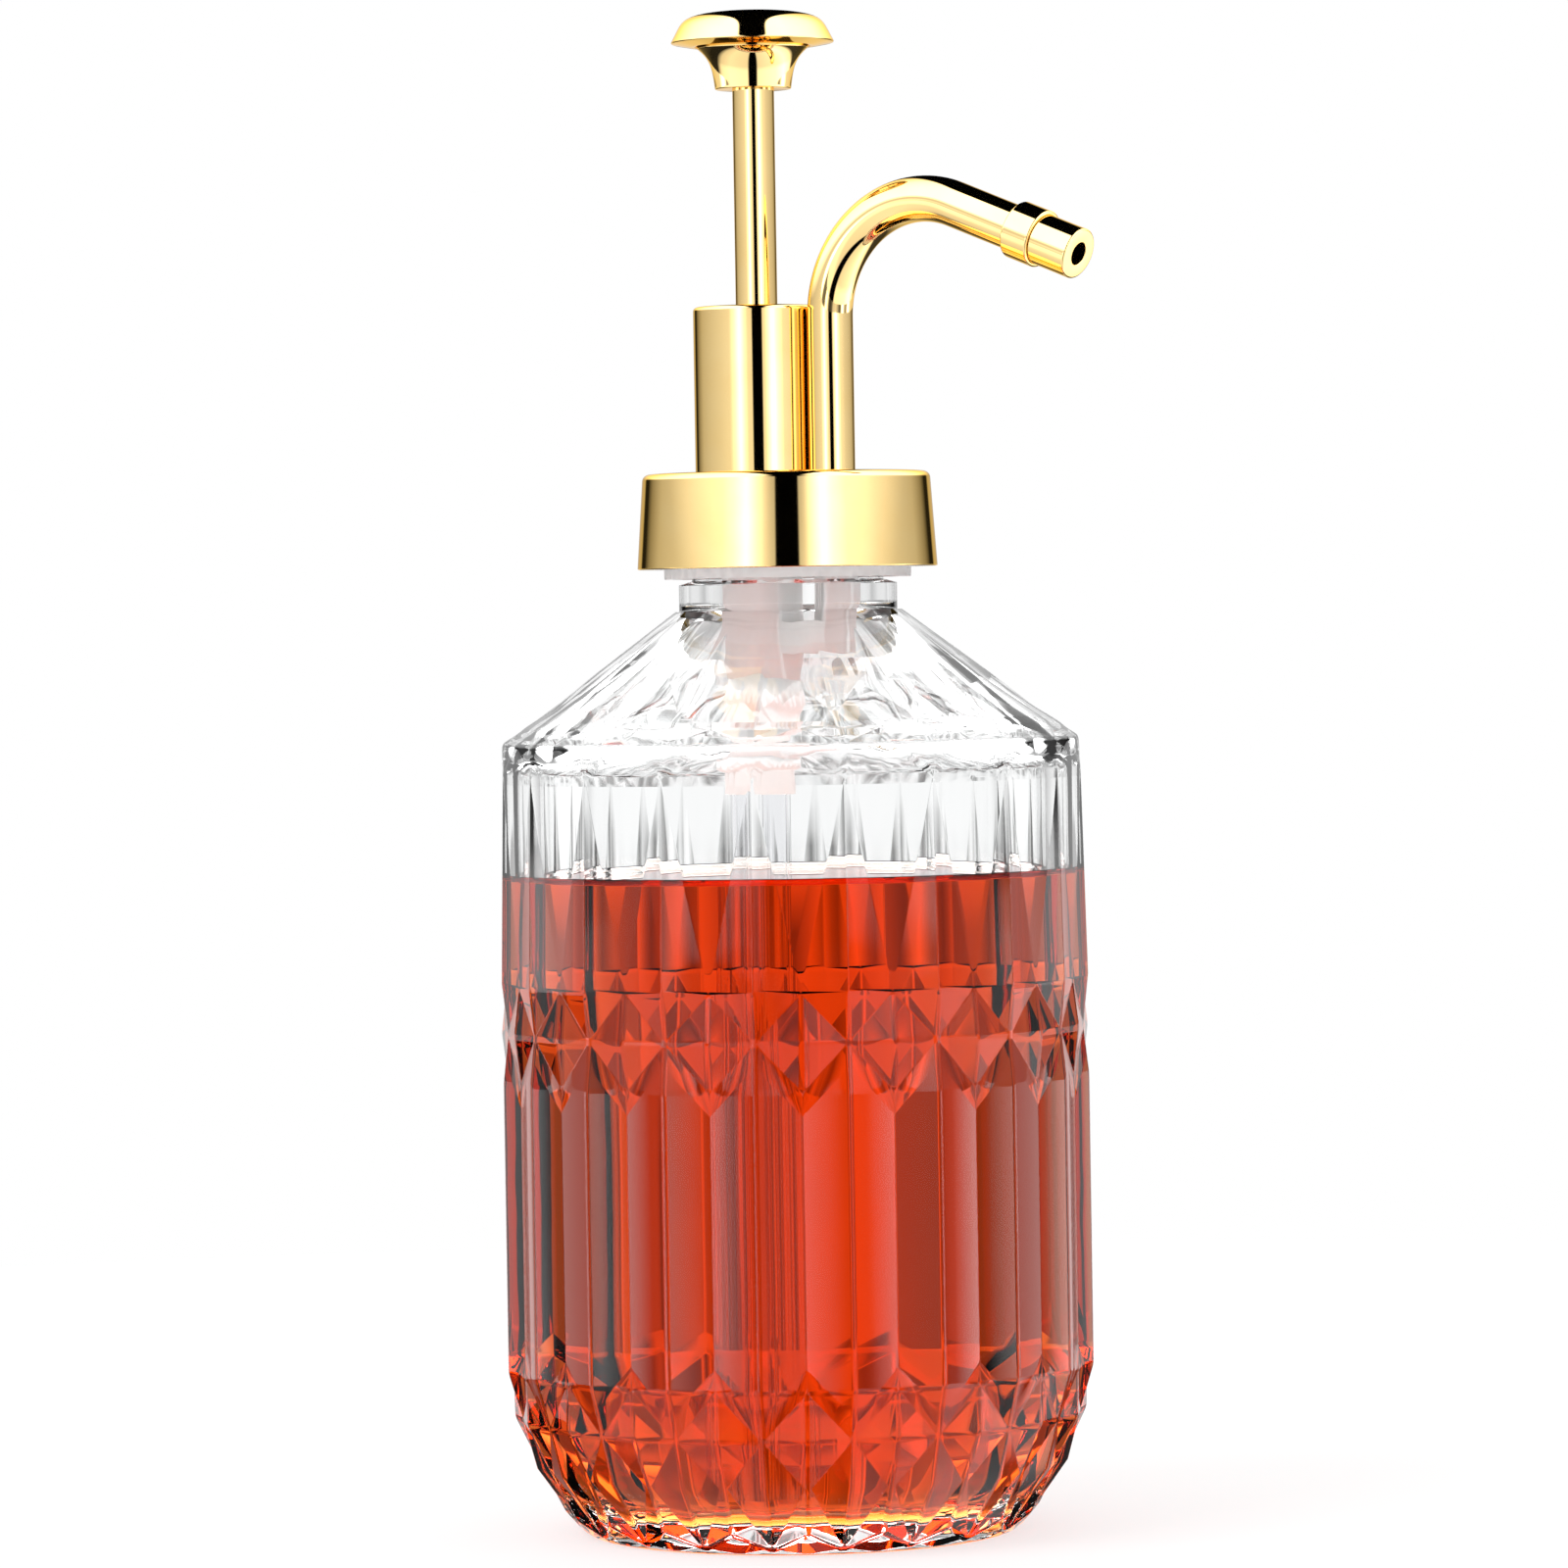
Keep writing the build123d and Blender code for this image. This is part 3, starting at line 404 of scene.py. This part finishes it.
def glass_finish(name, ior, panelled=False):
    """Glass with a faint ripple. On the outside the panels swell and the shoulder's edge is wavy."""
    material = bpy.data.materials.new(name)
    paint = Tree(material)
    place = paint.node("ShaderNodeTexCoord", output="Object")
    ripple = paint.node("ShaderNodeTexNoise", None, {"Vector": place, "Scale": ripple_scale, "Detail": 1.0})
    bump = paint.node("ShaderNodeBump", None, {
        "Strength": ripple_strength, "Distance": ripple_depth, "Height": ripple})
    if panelled:
        axes = paint.node("ShaderNodeSeparateXYZ", None, {0: place})
        height = axes.other("Z")
        around = axes.work("ARCTAN2", axes.other("Y"), axes) / panel_angle
        groove = abs(around.work("FRACT", around) - 0.5) * 2
        above = (height - panel_foot - point_height * groove) / swell_fade
        below = (panel_top - point_height * groove - height) / swell_fade
        inside = paint.node("ShaderNodeMath", {"operation": "MINIMUM", "use_clamp": True}, {
            0: above, 1: below})
        swell = (0 - groove * groove) * inside
        bump = paint.node("ShaderNodeBump", None, {
            "Strength": 1.0, "Distance": panel_swell, "Height": swell, "Normal": bump})
        melt = paint.node("ShaderNodeTexNoise", None, {"Vector": place, "Scale": melted_scale, "Detail": 0.0})
        edge = paint.node("ShaderNodeMath", {"operation": "SUBTRACT", "use_clamp": True}, {
            0: 1, 1: abs(height - melted_edge) / melted_reach})
        bump = paint.node("ShaderNodeBump", None, {
            "Strength": 1.0, "Distance": melted_depth, "Height": melt * edge, "Normal": bump})
    glass = paint.node("ShaderNodeBsdfPrincipled", None, {
        "Base Color": glass_tint, "Roughness": 0.0, "IOR": ior, "Transmission Weight": 1.0,
        "Specular Tint": glass_gleam, "Normal": bump})
    paint.node("ShaderNodeOutputMaterial", None, {"Surface": glass})
    return material


make_bottle()

# ---------------------------------------------------------------- syrup
# Clear orange-red syrup, up to the shoulder, with a raised rim where it wets the glass.
# Its side lies on the glass, so light only turns there in the glass's own wetted wall.

floor_bend, floor_steps = 15.0 * mm, 16
rim_width, rim_height = 1.8 * mm, 0.9 * mm
rim_steps, rim_curl = 6, 2.5
turned_sides = 128
arc_steps = 6
same_point = 0.0001 * mm
surface_tilt = 0.1                               # a side leans less than this
syrup_tint = (1.0, 0.93, 0.88, 1)
syrup_body = (0.975, 0.5, 0.02, 1)
syrup_density = 85.0


def turned(name, corners, centre_x=0.0, closed=False):
    """Ring of edges drawn out from corner to corner, each (radius, height, rounding)."""
    points = rounded(corners, closed)
    bpy.ops.object.select_all(action="DESELECT")
    radius, height = points[0]
    bpy.ops.mesh.primitive_circle_add(vertices=turned_sides, radius=radius, location=(centre_x, 0, height))
    piece = bpy.context.object
    piece.name = piece.data.name = name
    bpy.ops.object.mode_set(mode="EDIT")
    bpy.ops.mesh.select_mode(type="VERT")
    bpy.ops.mesh.select_all(action="SELECT")
    for next_radius, next_height in points[1:] + points[:1] * closed:
        bpy.ops.mesh.extrude_region_move(TRANSFORM_OT_translate={"value": (0, 0, next_height - height)})
        if next_radius == 0:
            bpy.ops.mesh.merge(type="CENTER")
            break
        scale = next_radius / radius
        bpy.ops.transform.resize(value=(scale, scale, 1), center_override=(centre_x, 0, next_height))
        radius, height = next_radius, next_height
    bpy.ops.mesh.select_all(action="SELECT")
    bpy.ops.mesh.remove_doubles(threshold=same_point)
    if not closed:
        bpy.ops.mesh.select_all(action="DESELECT")
        bpy.ops.mesh.select_non_manifold()
        bpy.ops.mesh.edge_face_add()
    bpy.ops.mesh.select_all(action="SELECT")
    bpy.ops.mesh.normals_make_consistent(inside=False)
    finish_shape(piece)
    bpy.ops.object.transform_apply(location=True, rotation=True, scale=True)
    return piece


def rounded(corners, closed):
    """The corners as (radius, height) points, with an arc at each corner that has a rounding."""
    points = []
    for index, (radius, height, rounding) in enumerate(corners):
        at_end = not closed and index in (0, len(corners) - 1)
        if rounding == 0 or at_end:
            points.append((radius, height))
            continue
        here = Vector((radius, height))
        before = (Vector(corners[index - 1][:2]) - here).normalized()
        after = (Vector(corners[(index + 1) % len(corners)][:2]) - here).normalized()
        half = before.angle(after) / 2
        centre = here + (before + after).normalized() * rounding / math.sin(half)
        start = here + before * rounding / math.tan(half) - centre
        end = here + after * rounding / math.tan(half) - centre
        for step in range(arc_steps + 1):
            arm = start.lerp(end, step / arc_steps).normalized() * rounding
            points.append(tuple(centre + arm))
    return points


def make_syrup():
    radius = syrup_high.x
    surface = syrup_level - rim_height
    bend = [(radius - floor_bend * (1 - math.sin(turn)), syrup_low.z + floor_bend * (1 - math.cos(turn)), 0)
            for turn in [math.pi / 2 * step / floor_steps for step in range(floor_steps + 1)]]
    rim = [(radius - rim_width * share, surface + rim_height * (1 - share) ** rim_curl, 0)
           for share in [step / rim_steps for step in range(rim_steps + 1)]]
    syrup = turned("orange_syrup", [*bend, *rim, (radius / 2, surface, 0), (0, surface, 0)])
    syrup.data.materials.append(syrup_finish())
    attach(syrup, "bottle")
    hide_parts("syrup")


def syrup_finish():
    """Clear liquid that colours light by its depth, with a surface that turns light on top only."""
    material = bpy.data.materials.new("orange_syrup")
    paint = Tree(material)
    place = paint.node("ShaderNodeTexCoord", output="Object")
    height = paint.node("ShaderNodeSeparateXYZ", None, {0: place}).other("Z")
    normal = paint.node("ShaderNodeNewGeometry", output="Normal")
    up = paint.node("ShaderNodeSeparateXYZ", None, {0: normal}).other("Z")
    on_top = (abs(up) > surface_tilt) * (height > syrup_level / 2)
    look = {"Base Color": syrup_tint, "Roughness": 0.0, "Transmission Weight": 1.0}
    side = paint.node("ShaderNodeBsdfPrincipled", None, {**look, "IOR": 1.0})
    top = paint.node("ShaderNodeBsdfPrincipled", None, {**look, "IOR": syrup_ior})
    surface = paint.node("ShaderNodeMixShader", None, {0: on_top, 1: side, 2: top})
    body = paint.node("ShaderNodeVolumeAbsorption", None, {"Color": syrup_body, "Density": syrup_density})
    paint.node("ShaderNodeOutputMaterial", None, {"Surface": surface, "Volume": body})
    return material


make_syrup()

# ---------------------------------------------------------------- collar
# Gold-plated collar, a spun cup with a turned-in top. It is pressed over a white moulded
# liner, whose thread screws on the neck and whose skirt shows below the gold.

collar_top_r = 18.9 * mm
collar_mouth_r = 14.4 * mm
crease = math.radians(35)
gold_light = (0.98, 0.74, 0.35, 1)
gold_deep = (0.95, 0.66, 0.26, 1)
white = (0.97, 0.97, 0.965, 1)


def gold_finish():
    material = bpy.data.materials.new("polished_gold")
    paint = Tree(material)
    place = paint.node("ShaderNodeTexCoord", output="Object")
    cloud = paint.node("ShaderNodeTexNoise", None, {"Vector": place, "Scale": 160.0, "Detail": 3.0})
    fine = paint.node("ShaderNodeTexNoise", None, {"Vector": place, "Scale": 2600.0, "Detail": 2.0})
    bump = paint.node("ShaderNodeBump", None, {"Strength": 0.004, "Distance": 0.02 * mm, "Height": fine})
    metal = paint.node("ShaderNodeBsdfPrincipled", None, {
        "Base Color": paint.blend(cloud, gold_light, gold_deep), "Metallic": 1.0,
        "Roughness": 0.03 + 0.03 * cloud, "Specular Tint": gold_light, "Normal": bump})
    paint.node("ShaderNodeOutputMaterial", None, {"Surface": metal})
    return material


def plastic_finish(name, colour, roughness, through=0.0, ior=1.5):
    material = bpy.data.materials.new(name)
    paint = Tree(material)
    place = paint.node("ShaderNodeTexCoord", output="Object")
    cloud = paint.node("ShaderNodeTexNoise", None, {"Vector": place, "Scale": 220.0, "Detail": 4.0})
    shade = tuple(c * 0.96 for c in colour[:3]) + (1,)
    bump = paint.node("ShaderNodeBump", None, {"Strength": 0.05, "Distance": 0.02 * mm, "Height": cloud})
    plastic = paint.node("ShaderNodeBsdfPrincipled", None, {
        "Base Color": paint.blend(cloud, colour, shade), "Roughness": roughness + 0.1 * cloud,
        "Transmission Weight": through, "IOR": ior, "Normal": bump})
    paint.node("ShaderNodeOutputMaterial", None, {"Surface": plastic})
    return material


def place_piece(piece, material, body, node):
    piece.data.materials.clear()
    piece.data.materials.append(material)
    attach(piece, body)
    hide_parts(node)


def make_collar():
    low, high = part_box("collar_shell")
    liner_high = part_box("collar_liner")[1]
    bore, under = liner_high.x, liner_high.z
    collar = turned("collar_shell_gold", [
        (bore, under, 0.3 * mm), (bore, low.z, 0.1 * mm), (high.x, low.z, 0.15 * mm),
        (collar_top_r, high.z, 0.9 * mm), (collar_mouth_r, high.z, 0.2 * mm), (collar_mouth_r, under, 0)],
        closed=True)
    place_piece(collar, gold, "collar", "collar_shell")
    liner = copy_of("collar_liner", "collar_liner_white")
    finish_shape(liner)
    bpy.ops.object.shade_smooth_by_angle(angle=crease)
    place_piece(liner, white_plastic, "collar", "collar_liner")


gold = gold_finish()
white_plastic = plastic_finish("white_plastic", white, 0.3)
make_collar()

# ---------------------------------------------------------------- hidden mouldings
# What sits inside the neck and the tower: the moulded pump body with its valve housing,
# guide, seats and dip tube, the silicone seals, the piston and the steel valve balls. All
# are pressed into one another, apart from the balls, which are free to lift.

steel_light = (0.78, 0.78, 0.77, 1)
steel_shade = (0.7, 0.7, 0.69, 1)


def steel_finish():
    material = bpy.data.materials.new("bright_steel")
    paint = Tree(material)
    place = paint.node("ShaderNodeTexCoord", output="Object")
    cloud = paint.node("ShaderNodeTexNoise", None, {"Vector": place, "Scale": 900.0, "Detail": 2.0})
    metal = paint.node("ShaderNodeBsdfPrincipled", None, {
        "Base Color": paint.blend(cloud, steel_light, steel_shade), "Metallic": 1.0,
        "Roughness": 0.12 + 0.08 * cloud})
    paint.node("ShaderNodeOutputMaterial", None, {"Surface": metal})
    return material


def smooth_copy(node, name):
    piece = copy_of(node, name)
    bpy.ops.object.mode_set(mode="OBJECT")
    bpy.ops.object.shade_smooth_by_angle(angle=crease)
    return piece


tube_plastic = plastic_finish("tube_plastic", (0.97, 0.97, 0.98, 1), roughness=0.0, through=1.0, ior=1.06)
silicone = plastic_finish("silicone", (0.88, 0.88, 0.87, 1), roughness=0.5)
steel = steel_finish()
for node, body, material, slot in [
    ("neck_gasket", "pump_head", silicone, "seal"),
    ("pump_body", "pump_head", white_plastic, "white_plastic"),
    ("stem_guide", "pump_head", white_plastic, "white_plastic"),
    ("stem_wiper", "pump_head", silicone, "seal"),
    ("valve_housing", "pump_head", white_plastic, "white_plastic"),
    ("outlet_seat", "pump_head", white_plastic, "white_plastic"),
    ("outlet_stop", "pump_head", white_plastic, "white_plastic"),
    ("dip_tube", "pump_head", tube_plastic, "tube_plastic"),
    ("spout_washer", "pump_head", silicone, "seal"),
    ("spout_adapter", "pump_head", white_plastic, "white_plastic"),
    ("piston", "plunger", white_plastic, "white_plastic"),
    ("piston_ring", "plunger", silicone, "seal"),
    ("inlet_ball", "inlet_ball", steel, "steel"),
    ("outlet_ball", "outlet_ball", steel, "steel"),
]:
    place_piece(smooth_copy(node, node + "_smooth"), material, body, node)

# ---------------------------------------------------------------- tower
# Top plate let into the collar's mouth, and the tall sleeve round the pump's guide. Both
# are gold-plated brass, turned and polished.

sleeve_wall = 0.8 * mm
ceiling_thickness = 0.9 * mm
rod_hole_r = 3.05 * mm


def make_tower():
    low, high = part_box("tower_sleeve")
    centre_x = (low.x + high.x) / 2
    outer, ceiling = high.y, high.z - ceiling_thickness
    sleeve = turned("tower_sleeve_gold", [
        (outer - sleeve_wall, low.z, 0), (outer, low.z, 0.1 * mm), (outer, high.z, 0.55 * mm),
        (rod_hole_r, high.z, 0.2 * mm), (rod_hole_r, ceiling, 0), (outer - sleeve_wall, ceiling, 0.2 * mm)],
        centre_x, closed=True)
    place_piece(sleeve, gold, "pump_head", "tower_sleeve")
    place_piece(smooth_copy("top_plate", "top_plate_gold"), gold, "pump_head", "top_plate")


make_tower()

# ---------------------------------------------------------------- spout
# Gooseneck of bent, gold-plated tube, held in the top plate. A ring is pressed round its
# end and a turned nozzle into it.

spout_sides, spout_wall = 64, 0.8 * mm
bend_r, bend_steps = 14.7 * mm, 40
spout_turn = math.radians(111)
last_run = 14.3 * mm
ring_r, ring_length = 3.8 * mm, 4.2 * mm
tip_r, tip_length, outlet_r = 3.35 * mm, 5.8 * mm, 1.5 * mm
press_gap = 0.02 * mm
spout_low, spout_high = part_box("spout_tube")
spout_r = spout_high.y
spout_foot = Vector((spout_low.x + spout_r, 0, spout_low.z))
bend_start = Vector((spout_foot.x, 0, spout_high.z - bend_r - spout_r))
bend_centre = bend_start + Vector((bend_r, 0, 0))
bend_end = bend_centre + Vector((-math.cos(spout_turn), 0, math.sin(spout_turn))) * bend_r
outward = Vector((math.sin(spout_turn), 0, math.cos(spout_turn)))
spout_end = bend_end + outward * last_run


def make_spout_tube():
    bpy.ops.object.select_all(action="DESELECT")
    bpy.ops.mesh.primitive_circle_add(vertices=spout_sides, radius=spout_r, location=spout_foot)
    spout = bpy.context.object
    spout.name = spout.data.name = "spout_tube_gold"
    bpy.ops.object.mode_set(mode="EDIT")
    bpy.ops.mesh.select_all(action="SELECT")
    bpy.ops.mesh.extrude_region_move(TRANSFORM_OT_translate={"value": bend_start - spout_foot})
    bpy.ops.mesh.spin(steps=bend_steps, angle=spout_turn, center=bend_centre, axis=(0, -1, 0))
    bpy.ops.mesh.extrude_region_move(TRANSFORM_OT_translate={"value": outward * last_run})
    bpy.ops.mesh.select_all(action="SELECT")
    bpy.ops.mesh.remove_doubles(threshold=same_point)
    bpy.ops.mesh.normals_make_consistent(inside=False)
    bpy.ops.object.mode_set(mode="OBJECT")
    wall = spout.modifiers.new("wall", "SOLIDIFY")
    wall.thickness = spout_wall
    wall.offset = -1
    bpy.ops.object.modifier_apply(modifier=wall.name)
    bpy.ops.object.transform_apply(location=True, rotation=True, scale=True)
    bpy.ops.object.shade_smooth_by_angle(angle=crease)
    place_piece(spout, gold, "pump_head", "spout_tube")


def make_nozzle():
    """The ring and the tip are turned upright about the end of the tube, then swung into line with it."""
    ring = turned("nozzle_ring_gold", [
        (spout_r + press_gap, -ring_length, 0), (ring_r, -ring_length, 0.3 * mm), (ring_r, 0, 0.3 * mm),
        (spout_r + press_gap, 0, 0)], closed=True)
    spigot_r = spout_r - spout_wall - press_gap
    tip = turned("nozzle_tip_gold", [
        (outlet_r, -ring_length, 0), (spigot_r, -ring_length, 0), (spigot_r, 0, 0), (tip_r, 0, 0.15 * mm),
        (tip_r, tip_length, 0.3 * mm), (outlet_r, tip_length, 0.12 * mm)], closed=True)
    for piece, node in ((ring, "nozzle_ring"), (tip, "nozzle_tip")):
        bpy.ops.object.select_all(action="DESELECT")
        piece.select_set(True)
        bpy.context.view_layer.objects.active = piece
        piece.rotation_euler = (0, spout_turn, 0)
        piece.location = spout_end
        bpy.ops.object.transform_apply(location=True, rotation=True, scale=True)
        place_piece(piece, gold, "pump_head", node)


make_spout_tube()
make_nozzle()

# ---------------------------------------------------------------- plunger
# Gold-plated rod, thinner where the piston is pressed on it, and the mushroom knob: a
# flared hub pressed on the rod's top, under a domed cap. A steel coil spring pushes it up.

piston_end_r, piston_top = 1.8 * mm, 154.5 * mm
hub_foot_r, hub_taper = 5.0 * mm, 0.75 * mm
hub_steps, hub_curl = 16, 4
hub_spigot_r = 3.0 * mm
cap_lip = 0.5 * mm
crown_steps, crown_taper, crown_curl = 20, 0.2, 8


def make_plunger():
    rod_low, rod_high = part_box("plunger_rod")
    hub_low, hub_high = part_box("knob_hub")
    cap_low, cap_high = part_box("knob_cap")
    centre_x = (rod_low.x + rod_high.x) / 2
    rod_r = rod_high.y
    rod = turned("plunger_rod_gold", [
        (piston_end_r, rod_low.z, 0), (piston_end_r, piston_top, 0), (rod_r, piston_top, 0.2 * mm),
        (rod_r, rod_high.z, 0.2 * mm), (0, rod_high.z, 0)], centre_x)
    place_piece(rod, gold, "plunger", "plunger_rod")
    flare_r = hub_high.y
    flare_out, flare_up = flare_r - hub_foot_r - hub_taper, cap_low.z - hub_low.z
    flare = [(hub_foot_r + hub_taper * share + flare_out * share ** hub_curl, hub_low.z + flare_up * share, 0)
             for share in [step / hub_steps for step in range(1, hub_steps + 1)]]
    hub = turned("knob_hub_gold", [
        (rod_r + press_gap, hub_low.z, 0), (hub_foot_r, hub_low.z, 0.15 * mm), *flare,
        (hub_spigot_r, cap_low.z, 0), (hub_spigot_r, hub_high.z, 0), (0, hub_high.z, 0)], centre_x)
    place_piece(hub, gold, "plunger", "knob_hub")
    rim_r, rim_z = cap_high.y, cap_low.z + cap_lip
    crown = []
    for step in range(1, crown_steps):
        share = math.sin(math.pi / 2 * step / crown_steps)
        radius = rim_r * (1 - crown_taper * share) * math.sqrt(1 - share ** crown_curl)
        crown.append((radius, rim_z + (cap_high.z - rim_z) * share, 0))
    cap = turned("knob_cap_gold", [
        (flare_r - 0.3 * mm, cap_low.z, 0), (flare_r + 0.5 * mm, cap_low.z, 0.3 * mm),
        (rim_r, rim_z, 0.15 * mm), *crown, (0, cap_high.z, 0)], centre_x)
    place_piece(cap, gold, "plunger", "knob_cap")


def make_spring():
    spring = smooth_copy("return_spring", "return_spring_steel")
    place_piece(spring, steel, "pump_head", "return_spring")
    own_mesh(spring)


make_plunger()
make_spring()
